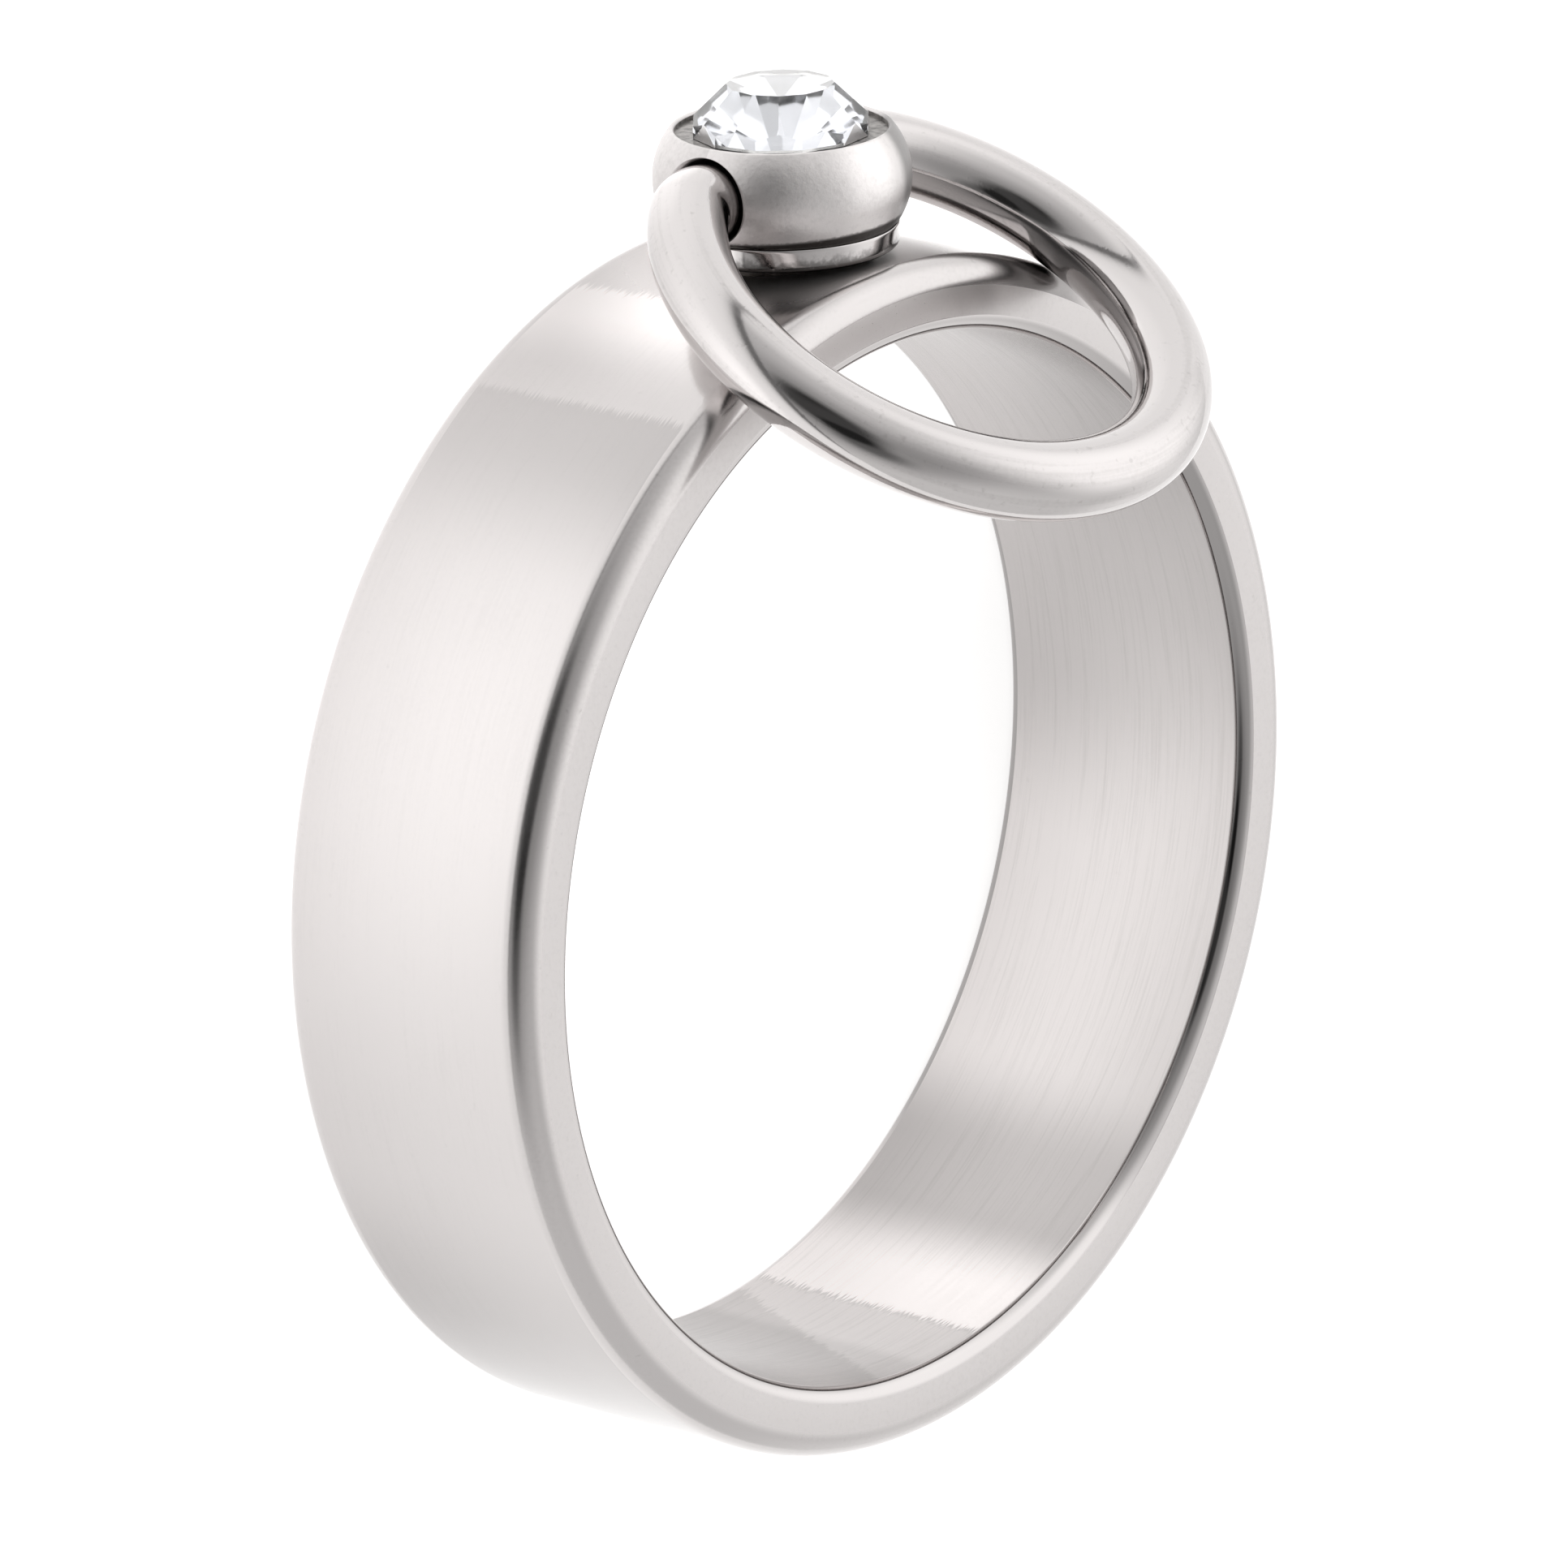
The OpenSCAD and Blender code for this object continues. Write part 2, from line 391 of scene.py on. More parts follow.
# What a steel has where its own settings say nothing else. The Dark values mix its colour towards dark,
# the Rough values vary its roughness, and heights and depths are in microns.
plainSteel = {
    "colour": steelColours["base"], "dark": steelColours["cast"],
    "pitShare": 0.3, "pitDark": 0.2, "grainDark": 0.1, "streakDark": 0.1, "hazeDark": 0.1, "lineDark": 0,
    "hazeRough": 0.05, "grainRough": 0.03, "lineRough": 0.03,
    "lineHeight": 0, "grainHeight": 0, "pitDepth": 0,
    "anisotropy": 0,  # along the brushing round the band
    "drawn": False,  # its lines run along the loop's wire, not round the band
    "paintedReflections": [],  # painted reflections: lighter and darker zones, with lift as the change in brightness
    "reflectionsRoundCrown": False,  # its painted reflections go round the crown's axis, not round the band
    "unpolished": None,  # the inner and outer distance of besideFoot, and how much rougher it is there
    # hasPaintedShade: mix in painted shade and dark reflection from the cup's attribute
    "hasPaintedShade": False,
}


def crownPoint(tree, point):
    # the point with its parts changed round, so that its angle is the one round the crown's axis
    x, y, z = splitPoint(tree, point)
    node = addNode(tree, "ShaderNodeCombineXYZ")
    link(tree, x, node.inputs["X"])
    link(tree, mathNode(tree, "MULTIPLY", z, -1), node.inputs["Y"])
    link(tree, y, node.inputs["Z"])
    return node.outputs[0]


def withPaintedReflections(tree, s, point, lines, shade):
    # the colour times 1 plus the lift of every painted reflection
    lift = 1
    reflectionPoint = crownPoint(tree, point) if s["reflectionsRoundCrown"] else point
    for reflection in s["paintedReflections"]:
        area = addNode(tree, "ShaderNodeGroup", node_tree=paintedReflectionZone)
        link(tree, reflectionPoint, area.inputs["Point"])
        link(tree, lines, area.inputs["Lines"])
        for key in ("Edge", "Full", "Hold", "Fade", "Slant", "Fray", "Tilt"):
            area.inputs[key].default_value = reflection.get(key.lower(), 0)
        lift = addedUp(tree, lift, (area.outputs["Amount"], reflection["lift"]))
    lifted = addNode(tree, "ShaderNodeVectorMath", operation="SCALE")
    link(tree, shade, lifted.inputs[0])
    link(tree, lift, lifted.inputs["Scale"])
    return lifted.outputs[0]


def makeSteel(name, settings):
    # steel whose colour, roughness and relief vary over the surface
    s = {**plainSteel, **settings}
    material, tree, shader, point = newMaterial(name)
    shader.inputs["Metallic"].default_value = 1
    shader.inputs["Anisotropic"].default_value = s["anisotropy"]
    brush = addNode(tree, "ShaderNodeGroup", node_tree=drawnLines if s["drawn"] else brushLines)
    linePoint = point
    if s["drawn"]:
        linePoint = addNode(tree, "ShaderNodeAttribute", attribute_name="wire").outputs["Vector"]
    link(tree, linePoint, brush.inputs["Point"])
    specks = addNode(tree, "ShaderNodeGroup", node_tree=specksAndHaze)
    link(tree, point, specks.inputs["Point"])
    specks.inputs["Pit share"].default_value = s["pitShare"]
    lines, streaks = brush.outputs["Lines"], brush.outputs["Streaks"]
    pits, grain, haze = specks.outputs["Pits"], specks.outputs["Grain"], specks.outputs["Haze"]

    dirt = addedUp(
        tree, 0, (pits, s["pitDark"]), (grain, s["grainDark"]), (streaks, s["streakDark"]),
        (haze, s["hazeDark"]), (lines, s["lineDark"]),
    )
    shade = mixedColour(tree, dirt, s["colour"], s["dark"])
    # painted reflections: lighter and darker zones scale the colour
    if s["paintedReflections"]:
        shade = withPaintedReflections(tree, s, point, lines, shade)
    # painted shade and dark reflection where the cup's attribute says
    if s["hasPaintedShade"]:
        paintedShade = addNode(tree, "ShaderNodeGroup", node_tree=cornerShade)
        link(tree, point, paintedShade.inputs["Point"])
        shade = mixedColour(tree, paintedShade.outputs["Mask"], shade, steelColours["paintedShade"])
    link(tree, shade, shader.inputs["Base Color"])

    rough = addedUp(
        tree, s["roughness"], (haze, s["hazeRough"]), (grain, s["grainRough"]), (lines, s["lineRough"]),
    )
    if s["unpolished"]:
        area = addNode(tree, "ShaderNodeGroup", node_tree=besideFoot)
        link(tree, point, area.inputs["Point"])
        area.inputs["Inner"].default_value = s["unpolished"]["inner"] * mm
        area.inputs["Outer"].default_value = s["unpolished"]["outer"] * mm
        rough = addedUp(tree, rough, (area.outputs["Amount"], s["unpolished"]["rough"]))
    link(tree, rough, shader.inputs["Roughness"])

    bump = addNode(tree, "ShaderNodeBump")
    bump.inputs["Distance"].default_value = micron
    bump.inputs["Strength"].default_value = 1
    height = addedUp(tree, 0, (lines, s["lineHeight"]), (grain, s["grainHeight"]), (pits, -s["pitDepth"]))
    link(tree, height, bump.inputs["Height"])
    link(tree, bump.outputs[0], shader.inputs["Normal"])
    if s["anisotropy"]:
        tangent = addNode(tree, "ShaderNodeTangent", direction_type="RADIAL", axis="Z")
        link(tree, tangent.outputs[0], shader.inputs["Tangent"])
    return material


# A painted reflection's angles go round the ring from its right side, and those of the cup round the
# crown's axis.
polishedSteel = makeSteel("polishedSteel", {
    "roughness": 0.12, "hazeRough": 0.06, "lineHeight": 0.3, "grainHeight": 0.05,
    "grainDark": 0.14, "pitDark": 0.1, "lineDark": 0.15, "streakDark": 0.08, "hazeDark": 0.15,
    "unpolished": {"inner": 1.9, "outer": 3.4, "rough": 0.28},
    "paintedReflections": [
        {"edge": 104, "full": 105, "hold": 108, "fade": 117, "lift": 0.26, "slant": 0.5, "fray": 4},
        {"edge": 120.6, "full": 121.6, "hold": 126, "fade": 142, "lift": -0.17, "fray": 3, "tilt": 0.12},
        {"edge": -88, "full": -102, "hold": -140, "fade": -162, "lift": -0.19, "tilt": -0.1},
    ],
})
satinSteel = makeSteel("satinSteel", {
    "roughness": 0.3, "grainRough": 0.1, "lineRough": 0, "grainHeight": 1.5, "pitDepth": 0.4,
    "grainDark": 0.45, "pitDark": 0.25, "streakDark": 0, "hazeDark": 0.15,
})
edgeSteel = makeSteel("edgeSteel", {
    "roughness": 0.2, "grainRough": 0.06, "lineRough": 0.05,
    "lineHeight": 0.2, "grainHeight": 0.5, "pitDepth": 0.2,
    "grainDark": 0.4, "pitDark": 0.25, "hazeDark": 0.25,
    "paintedReflections": [{"edge": 58, "full": 65, "hold": 72, "fade": 78, "lift": -0.5}],
})
brushedSteel = makeSteel("brushedSteel", {
    "colour": steelColours["brushedShaded"], "anisotropy": 0.45,
    "roughness": 0.22, "hazeRough": 0.03, "lineRough": 0.15, "lineHeight": 1.2, "grainHeight": 0.1,
    "grainDark": 0.15, "streakDark": 0.6, "pitDark": 0.15, "lineDark": 0.7, "hazeDark": 0.2,
    "paintedReflections": [
        {"edge": -80.4, "full": -79.6, "hold": -73, "fade": -62, "lift": 0.58, "fray": 6, "tilt": 0.08},
        {"edge": -80.4, "full": -81, "hold": -88, "fade": -91, "lift": 0.16, "fray": 4},
        {"edge": -70, "full": -62, "hold": -52, "fade": -42, "lift": -0.12},
        {"edge": -54, "full": -40, "hold": -18, "fade": 4, "lift": 0.25, "tilt": -0.28},
        {"edge": -10, "full": 15, "hold": 60, "fade": 70, "lift": -0.07, "tilt": 0.9},
        {"edge": -89.7, "full": -90.5, "hold": -120, "fade": -140, "lift": -0.2, "slant": 2.9, "fray": 5},
    ],
})
brightSteel = makeSteel("brightSteel", {
    "roughness": 0.08, "hazeRough": 0.03, "lineRough": 0, "grainHeight": 0.05,
    "grainDark": 0.04, "streakDark": 0,
    "paintedReflections": [{"edge": -60, "full": -46, "hold": 30, "fade": 60, "lift": -0.36}],
})
cupSteel = makeSteel("cupSteel", {
    "colour": steelColours["frosted"], "hasPaintedShade": True,
    "roughness": 0.42, "lineRough": 0, "grainHeight": 4, "pitDepth": 1, "pitShare": 0.6,
    "grainDark": 0.5, "pitDark": 0.14, "streakDark": 0, "hazeDark": 0.4,
    "reflectionsRoundCrown": True,
    "paintedReflections": [
        {"edge": -176, "full": -150, "hold": -130, "fade": -110, "lift": 0.14},
        {"edge": -120, "full": -102, "hold": -88, "fade": -76, "lift": 0.16},
        {"edge": -76, "full": -66, "hold": -40, "fade": -20, "lift": -0.55},
        {"edge": 95, "full": 120, "hold": 180, "fade": 181, "lift": -0.12},
    ],
})
footSteel = makeSteel("footSteel", {
    "hasPaintedShade": True, "roughness": 0.1, "lineRough": 0, "grainHeight": 0.08, "pitDepth": 0.2,
    "pitDark": 0.3, "streakDark": 0, "hazeDark": 0.15,
})
castSteel = makeSteel("castSteel", {
    "colour": steelColours["dull"], "dark": steelColours["black"],
    "roughness": 0.38, "lineRough": 0, "grainHeight": 12, "pitDepth": 12, "pitShare": 0.7,
    "grainDark": 0.8, "pitDark": 1, "streakDark": 0, "hazeDark": 0.4,
})
loopSteel = makeSteel("loopSteel", {
    "colour": steelColours["drawn"], "drawn": True, "roughness": 0.09, "lineRough": 0.08,
    "lineHeight": 0.5, "grainHeight": 0.12, "pitDepth": 0.3, "pitShare": 0.4,
    "grainDark": 0.35, "pitDark": 0.3, "lineDark": 0.4, "streakDark": 0.9, "hazeDark": 0.3,
})


# Glass, and the silvering behind it

glassLook = {"colour": (0.985, 0.99, 1, 1), "ior": 1.56, "coatIor": 2, "marksRough": 0.015}


def makeGlass(name, coat):
    # clear cut glass with a faint haze of polishing marks on its facets, and a bright coating or none
    material, tree, shader, point = newMaterial(name)
    shader.inputs["Transmission Weight"].default_value = 1
    shader.inputs["IOR"].default_value = glassLook["ior"]
    shader.inputs["Base Color"].default_value = glassLook["colour"]
    shader.inputs["Coat Weight"].default_value = coat
    shader.inputs["Coat IOR"].default_value = glassLook["coatIor"]
    marks = noise(tree, point, patterns["glassMarks"], 2)
    link(tree, mathNode(tree, "MULTIPLY", marks, glassLook["marksRough"]), shader.inputs["Roughness"])
    return material


crystalGlass = makeGlass("crystalGlass", 0)
tableGlass = makeGlass("tableGlass", 1)
freshFoil = {
    "hazeRough": 0, "grainRough": 0, "lineRough": 0, "grainDark": 0.05, "pitDark": 0.05, "streakDark": 0,
}
crystalFoil = makeSteel("crystalFoil", {**freshFoil, "colour": (0.84, 0.85, 0.88), "roughness": 0.1})
softFoil = makeSteel("softFoil", {**freshFoil, "colour": (0.86, 0.85, 0.83), "roughness": 0.25})
# grey pitted foil on the notches' upright sides: painted dark reflection
paintedDarkFoil = makeSteel("paintedDarkFoil", {
    "colour": (0.75, 0.74, 0.74), "roughness": 0.4, "lineRough": 0,
    "grainHeight": 6, "pitDepth": 6, "pitShare": 0.4,
    "grainDark": 0.5, "pitDark": 0.8, "streakDark": 0, "hazeDark": 0.2,
})
print("scene: materials")


# The band

bandShape = {
    "innerR": 8.7, "outerR": 9.9, "halfWidth": 2.525,
    "outerEdge": 0.46, "innerEdge": 0.25,  # how much the edges are rounded
    "segments": 720, "edgeSteps": 14, "wallSteps": 8,
    "wornFrom": 0.1, "flatFrom": 0.9999,  # how far worn edges and side faces turn sideways, out of 1
}


def makeBand():
    # a rounded box as a profile of (radius, height), turned round the finger's axis. That is the row's Z
    # axis, so the band is made lying down.
    b = bandShape
    inner, outer, half = b["innerR"], b["outerR"], b["halfWidth"]
    outerEdge, innerEdge, steps = b["outerEdge"], b["innerEdge"], b["edgeSteps"]
    outerMid, outerTop = outer - outerEdge, half - outerEdge
    innerMid, innerTop = inner + innerEdge, half - innerEdge
    profile = joined(
        straight([outer, -outerTop], [outer, outerTop], b["wallSteps"]),
        arc([outerMid, outerTop], outerEdge, 0, 90, steps),
        arc([innerMid, innerTop], innerEdge, 90, 180, steps),
        straight([inner, innerTop], [inner, -innerTop], b["wallSteps"]),
        arc([innerMid, -innerTop], innerEdge, 180, 270, steps),
        arc([outerMid, -outerTop], outerEdge, 270, 360, steps),
    )[:-1]
    return gridPiece("band", turned(profile, b["segments"]) * mm, True, True)


def paintBand(band):
    # polished outside and brushed inside, with satin side faces; the outer rounded edges are worn
    # smoother than those, and the inner ones are polished bright
    b = bandShape
    middle, normal = facesOf(band)
    fromAxis = np.hypot(middle[:, 0], middle[:, 2])
    sideways = np.abs(normal[:, 1])
    inside = fromAxis < b["innerR"] + onSurface
    onInnerEdge = (fromAxis < b["innerR"] + b["innerEdge"]) & ~inside
    onSide = sideways > b["flatFrom"]
    onOuterEdge = (sideways > b["wornFrom"]) & (fromAxis > (b["innerR"] + b["outerR"]) / 2)
    painted(band, np.select([inside, onInnerEdge, onSide, onOuterEdge], [2, 3, 1, 4], 0))


band = makeBand()
paintBand(band)
bandMaterials = (polishedSteel, satinSteel, brushedSteel, brightSteel, edgeSteel)
dressed(band, "ring", "band_and_setting", "steel", *bandMaterials)
print("scene: band")


# The bezel cup with its foot, and the two side holes

cupShape = {
    "neckR": 1.45, "neckBottom": 9.3,  # the neck goes down into the band
    "footR": 1.87, "footZ": 9.96, "footTop": 10.35, "footEdge": 0.1,
    "seamDepth": 0.04, "seamTop": 10.38, "softEdge": 0.025,
    "bellyZ": 11.1, "bulgeX": 0.81, "bulgeR": 1.28,  # the centre and radius of the bowl's round side
    "cavityR": 1.72, "lipR": 0.05, "seatZ": 11.82,
    "recessR": 1.19, "recessDepth": 0.6958,  # the cone under the crystal's pointed back
    "segments": 512, "footEdgeSteps": 10, "footSteps": 8, "softSteps": 6, "bulgeSteps": 64,
    "lipSteps": 12, "seatSteps": 4, "sharpAngle": 35,
}

holeShape = {
    "z": 11.06, "r": 0.7, "bottom": 1.2,  # the hole's flat bottom is this far from the crown's axis
    "mouth": 0.12,  # how much its mouth is rounded
    "outside": 2.6, "segments": 192, "mouthSteps": 16,
}

# Painted shade and dark reflection on the cup: in the seam, on the neck, on the foot, where it fades out
# upwards, and on the bowl's lowest part, where it comes up higher on one side.
paintedShadeShape = {
    "towards": -50, "high": 0.24, "low": 0.05, "soft": 0.08,
    "footRise": 0.34, "footAmount": 1.1, "margin": 0.01, "insideWall": 0.1,
}


def cupProfile():
    # (radius, height) from the neck up: the foot, the seam, the bowl's bulge as one arc, a small arc for
    # the lip, and the seat with its cone. Each soft edge is an arc that touches both of its neighbours.
    c = cupShape
    footR, footZ, footTop, footEdge = c["footR"], c["footZ"], c["footTop"], c["footEdge"]
    edge, bulgeX, bulgeR, belly = c["softEdge"], c["bulgeX"], c["bulgeR"], c["bellyZ"]
    seamR = footR - c["seamDepth"]
    lowZ = c["seamTop"] + edge
    lowX = bulgeX + math.sqrt((bulgeR - edge) ** 2 - (belly - lowZ) ** 2)
    lowTurn = math.degrees(math.atan2(lowZ - belly, lowX - bulgeX))
    lipX = c["cavityR"] + c["lipR"]
    lipZ = belly + math.sqrt((bulgeR - c["lipR"]) ** 2 - (lipX - bulgeX) ** 2)
    lipTurn = math.degrees(math.atan2(lipZ - belly, lipX - bulgeX))
    return joined(
        [0, c["neckBottom"]],
        [c["neckR"], c["neckBottom"]],
        [c["neckR"], footZ],
        arc([footR - footEdge, footZ + footEdge], footEdge, -90, 0, c["footEdgeSteps"]),
        straight([footR, footZ + footEdge], [footR, footTop - edge], c["footSteps"]),
        arc([footR - edge, footTop - edge], edge, 0, 90, c["softSteps"]),
        [seamR, footTop],
        [seamR, c["seamTop"]],
        arc([lowX, lowZ], edge, -90, lowTurn, c["softSteps"]),
        arc([bulgeX, belly], bulgeR, lowTurn, lipTurn, c["bulgeSteps"]),
        arc([lipX, lipZ], c["lipR"], lipTurn, 180, c["lipSteps"]),
        straight([c["cavityR"], c["seatZ"]], [c["recessR"], c["seatZ"]], c["seatSteps"]),
        straight([c["recessR"], c["seatZ"]], [0, c["seatZ"] - c["recessDepth"]], c["seatSteps"]),
    )


def holeCutter(side):
    # (radius, distance) from the hole's flat bottom out through its rounded mouth, turned round the
    # hinge line; side is 1 for the hole on the right and -1 for the left
    h = holeShape
    wide = h["r"] + h["mouth"]
    mouthX = math.sqrt((cupShape["bulgeX"] + cupShape["bulgeR"]) ** 2 - wide ** 2) - h["mouth"]
    profile = joined(
        [0, h["bottom"]],
        [h["r"], h["bottom"]],
        arc([wide, mouthX], h["mouth"], 180, 90, h["mouthSteps"]),
        [wide, h["outside"]],
        [0, h["outside"]],
    )
    grid = turned(profile, h["segments"])
    along = np.stack([side * grid[..., 2], side * grid[..., 0], grid[..., 1] + h["z"]], axis=-1)
    return gridPiece("holeCutter", laidDown(along), True, False)


def makeCup():
    # the profile turned round the crown's axis, with both holes cut out of it
    cup = gridPiece("cup", laidDown(turned(cupProfile(), cupShape["segments"])), True, False)
    cutters = [holeCutter(1), holeCutter(-1)]
    for cutter in cutters:
        cut = cup.modifiers.new("sideHole", "BOOLEAN")
        cut.operation = "DIFFERENCE"
        cut.solver = "EXACT"
        cut.object = cutter
    bpy.context.view_layer.update()
    solid = bpy.data.meshes.new_from_object(cup.evaluated_get(bpy.context.evaluated_depsgraph_get()))
    cup.modifiers.clear()
    cup.data = solid
    for cutter in cutters:
        bpy.data.objects.remove(cutter)
    solid.shade_smooth()
    solid.set_sharp_from_angle(angle=math.radians(cupShape["sharpAngle"]))
    return cup


def paintCup(cup):
    # frosted, with a polished foot, and rough as cast in the cavity and the holes
    middle, _ = facesOf(cup)
    fromAxis = np.hypot(middle[:, 0], middle[:, 1])
    fromHinge = np.hypot(middle[:, 1], middle[:, 2] - holeShape["z"])
    aboveFoot = middle[:, 2] > cupShape["footTop"]
    inCavity = (fromAxis < cupShape["cavityR"] + onSurface) & aboveFoot
    inHole = (fromHinge < holeShape["r"] + onSurface) & aboveFoot
    onFoot = middle[:, 2] < cupShape["seamTop"] - onSurface
    painted(cup, np.select([inCavity | inHole, onFoot], [1, 2], 0))


# painted shade and dark reflection, stored as the cup's paintedShade point attribute
def paintShadeOnCup(cup):
    g, c = paintedShadeShape, cupShape
    x, y, z = pointsOf(cup).T
    fromAxis = np.hypot(x, y)
    facing = 0.5 + 0.5 * np.cos(np.arctan2(y, x) - math.radians(g["towards"]))
    above = z - c["seamTop"]
    reach = g["low"] + (g["high"] - g["low"]) * facing
    onBowl = (above > -g["margin"]) & (fromAxis > c["cavityR"] - g["insideWall"])
    inSeam = (above < g["margin"]) & (fromAxis < c["footR"] - c["seamDepth"] + g["margin"])
    bowl = np.clip((reach - above) / g["soft"], 0, 1) * onBowl
    foot = np.clip((c["footZ"] + g["footRise"] - z) / g["footRise"], 0, 1) * g["footAmount"]
    amount = np.maximum(np.maximum(bowl, inSeam), foot)
    paintedShade = cup.data.attributes.new("paintedShade", "FLOAT", "POINT")
    paintedShade.data.foreach_set("value", amount.astype(np.float32))


cup = makeCup()
paintCup(cup)
paintShadeOnCup(cup)
dressed(cup, "ring", "band_and_setting", "steel", cupSteel, castSteel, footSteel)
print("scene: cup,", len(cup.data.polygons), "faces")


# The loop

loopShape = {
    "wireR": 0.645, "arcR": 4.16, "bendR": 0.7,
    "endX": 1.25, "endRound": 0.08,  # the wire's ends in the cup
    "hingeZ": 11.06, "lean": 29.8,
    "sides": 64, "arcSteps": 210, "bendSteps": 40, "pinSteps": 8, "endSteps": 6,
}

# The loop is drawn in its own plane: u along the hinge line, w out from it, n across the plane. The
# centres of its arc and of a bend are two corners of a triangle with sides 3, 4 and 5.
bendU = (loopShape["arcR"] - loopShape["bendR"]) * 3 / 5
arcW = loopShape["bendR"] + (loopShape["arcR"] - loopShape["bendR"]) * 4 / 5
bendTurn = math.degrees(math.atan2(4, 3))
lean = math.radians(180 + loopShape["lean"])  # the plane leans over the band


def loopLine():
    # half of the wire's centre line, from its end in the cup to the loop's middle
    s = loopShape
    return joined(
        straight([s["endX"], 0], [bendU, 0], s["pinSteps"]),
        arc([bendU, s["bendR"]], s["bendR"], -90, -bendTurn, s["bendSteps"]),
        arc([0, arcW], s["arcR"], -bendTurn, 90, s["arcSteps"]),
    )


def makeLoop():
    # round the centre line: point = line + r (cos f * across + sin f * normal of the loop's plane)
    s = loopShape
    t = np.linspace(0, math.pi / 2, s["endSteps"] + 1)
    endR = s["wireR"] - s["endRound"] * (1 - np.sin(t))
    endLine = np.stack([s["endX"] + s["endRound"] * (1 - np.cos(t)), 0 * t], axis=-1)
    rest = loopLine()[1:]
    half = np.concatenate([[[s["endX"], 0]], endLine, rest])
    radius = np.concatenate([[0], endR, np.full(len(rest), s["wireR"])])
    line = np.concatenate([half, half[-2::-1] * [-1, 1]])
    radius = np.concatenate([radius, radius[-2::-1]])
    along = np.gradient(line, axis=0)
    along /= np.linalg.norm(along, axis=1)[:, None] + 1e-12  # it is nil at the two ends
    across = np.stack([-along[:, 1], along[:, 0]], axis=-1)
    f = np.linspace(0, 2 * math.pi, s["sides"], endpoint=False)[None, :]
    flat = line[:, None, :] + (radius[:, None] * np.cos(f))[..., None] * across[:, None, :]
    u, w, n = flat[..., 0], flat[..., 1], radius[:, None] * np.sin(f)
    y = w * math.cos(lean) - n * math.sin(lean)
    z = w * math.sin(lean) + n * math.cos(lean) + s["hingeZ"]
    return gridPiece("loop_wire", laidDown(np.stack([u, y, z], axis=-1)), False, True)


def noteWire(piece):
    # each point's place in the wire: outwards from the arc's line, across the loop's plane, along the arc
    s = loopShape
    u, y, z = pointsOf(piece).T
    z = z - s["hingeZ"]
    w = y * math.cos(lean) + z * math.sin(lean) - arcW
    n = z * math.cos(lean) - y * math.sin(lean)
    place = np.stack([np.hypot(u, w) - s["arcR"], n, s["arcR"] * np.arctan2(u, w)], axis=-1) * mm
    wire = piece.data.attributes.new("wire", "FLOAT_VECTOR", "POINT")
    wire.data.foreach_set("vector", place.astype(np.float32).ravel())


loopWire = makeLoop()
noteWire(loopWire)
dressed(loopWire, "loop", "loop", "loop_steel", loopSteel)
print("scene: loop")


# The crystal

crystalShape = {
    "facets": 12, "tipR": 1.45, "tableR": 0.875, "height": 0.8, "girdle": 0.2, "notch": 0.3,
    "pointR": 1.18, "pointHeight": 0.69, "turn": 7.7, "seatZ": 11.83,
    "clearTowards": -140, "clearWithin": 45,  # the side towards the camera; elsewhere the notch sides get grey foil as painted dark reflection
}


def crystalPoints():
    # rings of corners (r cos a, r sin a, z), from the table down to the point. A main facet faces each
    # half step, and a steep notch each whole one, which cuts both of its neighbours.
    c = crystalShape
    n = c["facets"]
    step = 2 * math.pi / n
    tableSide = c["tableR"] * math.cos(step / 2)
    slope = (c["tipR"] - tableSide) / (c["height"] - c["girdle"])
    notchR = (tableSide + slope * (c["height"] - c["notch"])) / math.cos(step / 2)

    def ringOf(radius, z, shift):
        a = (np.arange(n) + shift) * step + math.radians(c["turn"])
        return np.stack([radius * np.cos(a), radius * np.sin(a), np.full(n, c["seatZ"] + z)], axis=-1)

    return np.concatenate([
        ringOf(c["tableR"], c["height"], 0),
        ringOf(notchR, c["notch"], 0),
        ringOf(c["tipR"], c["girdle"], 0.5),
        ringOf(c["tipR"], 0, 0.5),
        ringOf(c["pointR"], 0, 0.5),
        [[0, 0, c["seatZ"] - c["pointHeight"]]],
    ])


def crystalFaces():
    # the faces sorted by finish: clear, silvered, softly silvered, grey foil as painted dark reflection,
    # and the table on top
    c = crystalShape
    n = c["facets"]
    table, notch, tip, seat, point = (list(range(i * n, (i + 1) * n)) for i in range(5))
    top, clear, silvered, soft, darkened = [table], [], [], [], []
    for i in range(n):
        j = (i + 1) % n
        clear.append([table[i], notch[i], tip[i], notch[j], table[j]])
        clear.append([notch[j], tip[i], seat[i]])
        clear.append([notch[j], seat[j], tip[j]])
        silvered.append([point[i], 5 * n, point[j]])
        soft.append([seat[i], point[i], point[j], seat[j]])
        # under a notch the upright side gets grey foil as painted dark reflection, but for the side
        # towards the camera
        apart = ((i + 1) * 360 / n + c["turn"] - c["clearTowards"] + 180) % 360 - 180
        side = clear if abs(apart) < c["clearWithin"] else darkened
        side.append([notch[j], seat[i], seat[j]])
    return [clear, silvered, soft, darkened, top]


def makeCrystal():
    kinds = crystalFaces()
    mesh = bpy.data.meshes.new("crystal_stone")
    mesh.from_pydata(laidDown(crystalPoints()).tolist(), [], sum(kinds, []))
    stone = bpy.data.objects.new("crystal_stone", mesh)
    bpy.context.scene.collection.objects.link(stone)
    painted(stone, np.repeat(np.arange(len(kinds)), [len(kind) for kind in kinds]))
    return stone


crystal = makeCrystal()
dressed(crystal, "ring", "crystal", "crystal", crystalGlass, crystalFoil, softFoil, paintedDarkFoil, tableGlass)
print("scene: crystal")


# The floor: pale paper on a lit table. The table's light ends softly on one side, and from there on the
# paper is painted darker too, as shade. The light is a little stronger in round pools: angle and away say
# where a pool is round the ring, reach is where it ends, and glow is how much brighter its middle is.

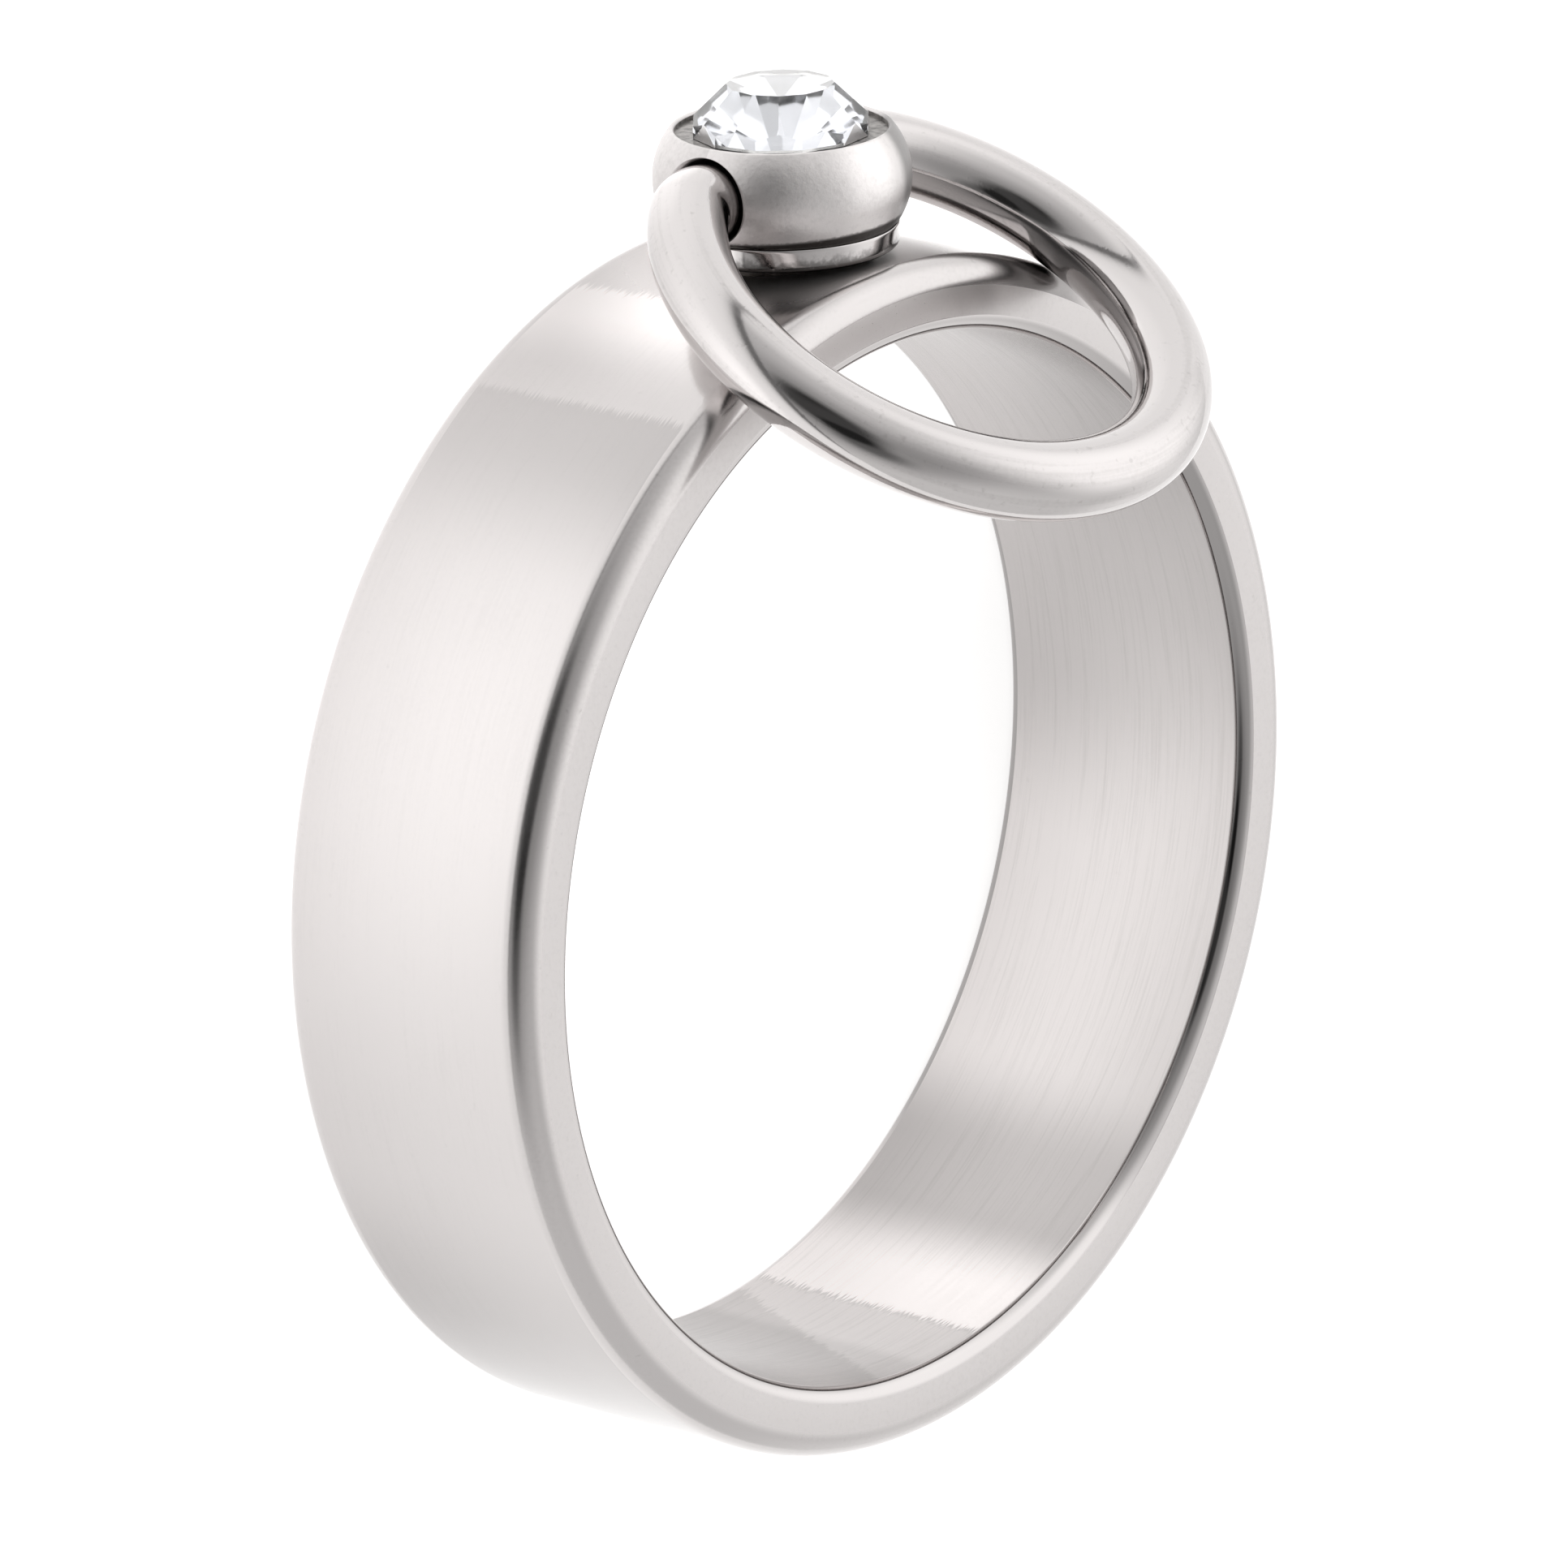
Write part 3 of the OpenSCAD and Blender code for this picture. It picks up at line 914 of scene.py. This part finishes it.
tableLight = {
    "colour": (1, 0.995, 0.99, 1), "glow": 0.5, "edgeTowards": 140, "full": 22, "none": 90,
    "pools": {
        "underRing": {"angle": 0, "away": 0, "reach": 32, "glow": 0.27},
        "left": {"angle": 150, "away": 14, "reach": 11, "glow": 0.36},
        "farLeft": {"angle": 180, "away": 14, "reach": 9, "glow": 0.12},
        "top": {"angle": 92, "away": 12.4, "reach": 4, "glow": 0.4},
        "inner": {"angle": -38, "away": 5, "reach": 5, "glow": 0.15},
        "innerTop": {"angle": 35, "away": 6.5, "reach": 4, "glow": 0.15},
    },
}

floorShape = {
    "halfWidth": 1000, "below": 0.001,  # just under the ring
    # shadedBeyond is the paper's grey where the table light is off: painted shade
    "paper": 0.82, "shadedBeyond": 0.24, "grain": 0.05, "roughness": 0.9,
}


def makeFloorPaper():
    material, tree, shader, point = newMaterial("floorPaper")
    shader.inputs["Specular IOR Level"].default_value = 0
    shader.inputs["Roughness"].default_value = floorShape["roughness"]
    shader.inputs["Emission Color"].default_value = tableLight["colour"]
    towards = math.radians(tableLight["edgeTowards"])
    across = addNode(tree, "ShaderNodeVectorMath", operation="DOT_PRODUCT")
    across.inputs[1].default_value = (math.cos(towards), math.sin(towards), 0)
    link(tree, point, across.inputs[0])
    lit = ramp(tree, across.outputs["Value"], tableLight["none"] * mm, tableLight["full"] * mm)
    glow = tableLight["glow"]
    for pool in tableLight["pools"].values():
        angle, away = math.radians(pool["angle"]), pool["away"] * mm
        apart = addNode(tree, "ShaderNodeVectorMath", operation="DISTANCE")
        link(tree, point, apart.inputs[0])
        apart.inputs[1].default_value = (away * math.cos(angle), away * math.sin(angle), floorZ)
        inPool = ramp(tree, apart.outputs["Value"], 0, pool["reach"] * mm, pool["glow"], 0)
        glow = mathNode(tree, "ADD", inPool, glow)
    link(tree, mathNode(tree, "MULTIPLY", lit, glow), shader.inputs["Emission Strength"])
    grain = noise(tree, point, patterns["paper"], 3)
    paper = mathNode(tree, "SUBTRACT", 1, mathNode(tree, "MULTIPLY", grain, floorShape["grain"]))
    # the paper's grey falls with the table light as well: painted shade
    light, dark = floorShape["paper"], floorShape["shadedBeyond"]
    grey = mathNode(tree, "MULTIPLY", paper, mathNode(tree, "MULTIPLY_ADD", lit, light - dark, dark))
    link(tree, grey, shader.inputs["Base Color"])
    return material


def makeFloor():
    z = floorZ - floorShape["below"] * mm
    s = floorShape["halfWidth"] * mm
    mesh = bpy.data.meshes.new("floor")
    mesh.from_pydata([(-s, -s, z), (s, -s, z), (s, s, z), (-s, s, z)], [], [(0, 1, 2, 3)])
    mesh.materials.append(makeFloorPaper())
    floor = bpy.data.objects.new("floor", mesh)
    bpy.context.scene.collection.objects.link(floor)


makeFloor()

# The room is a soft field: an even base, with round patches that add light or take it away. A patch has
# its whole strength up to the angle full from its middle, and fades out smoothly at the angle none.
roomLight = {
    "base": 0.8, "least": 0.02, "colour": (1, 0.995, 0.99, 1),
    "patches": {
        "bigSoftbox": {"azimuth": 22, "elevation": 42, "full": 16, "none": 58, "strength": 0.7},
        "lowLeft": {"azimuth": -38, "elevation": 4, "full": 6, "none": 34, "strength": 0.26},
        "lowRight": {"azimuth": 58, "elevation": 2, "full": 6, "none": 40, "strength": 0.3},
        "farRight": {"azimuth": 118, "elevation": 5, "full": 8, "none": 40, "strength": -0.14},
        "darkSide": {"azimuth": 168, "elevation": 28, "full": 20, "none": 66, "strength": -0.42},
        "blackCard": {"azimuth": 160, "elevation": 20, "full": 14, "none": 30, "strength": -0.31},
        "secondCard": {"azimuth": 190, "elevation": 27, "full": 6, "none": 24, "strength": -0.24},
        "overhead": {"azimuth": 0, "elevation": 90, "full": 5, "none": 45, "strength": -0.16},
    },
}


def makeRoom():
    world = bpy.data.worlds.new("studio")
    bpy.context.scene.world = world
    world.use_nodes = True
    tree = world.node_tree
    background = tree.nodes["Background"]
    background.inputs["Color"].default_value = roomLight["colour"]
    direction = addNode(tree, "ShaderNodeTexCoord").outputs["Generated"]
    total = roomLight["base"]
    for patch in roomLight["patches"].values():
        a, e = math.radians(patch["azimuth"]), math.radians(patch["elevation"])
        dot = addNode(tree, "ShaderNodeVectorMath", operation="DOT_PRODUCT")
        dot.inputs[1].default_value = (math.cos(a) * math.cos(e), math.sin(a) * math.cos(e), math.sin(e))
        link(tree, direction, dot.inputs[0])
        # a hair under the true cosine, because past 1 it has no angle
        angle = mathNode(tree, "ARCCOSINE", mathNode(tree, "MULTIPLY", dot.outputs["Value"], 0.99999))
        full, none = math.radians(patch["full"]), math.radians(patch["none"])
        total = mathNode(tree, "ADD", ramp(tree, angle, full, none, patch["strength"], 0), total)
    link(tree, mathNode(tree, "MAXIMUM", total, roomLight["least"]), background.inputs["Strength"])


makeRoom()
bpy.context.scene.view_settings.view_transform = "Standard"
print("scene: floor and light")
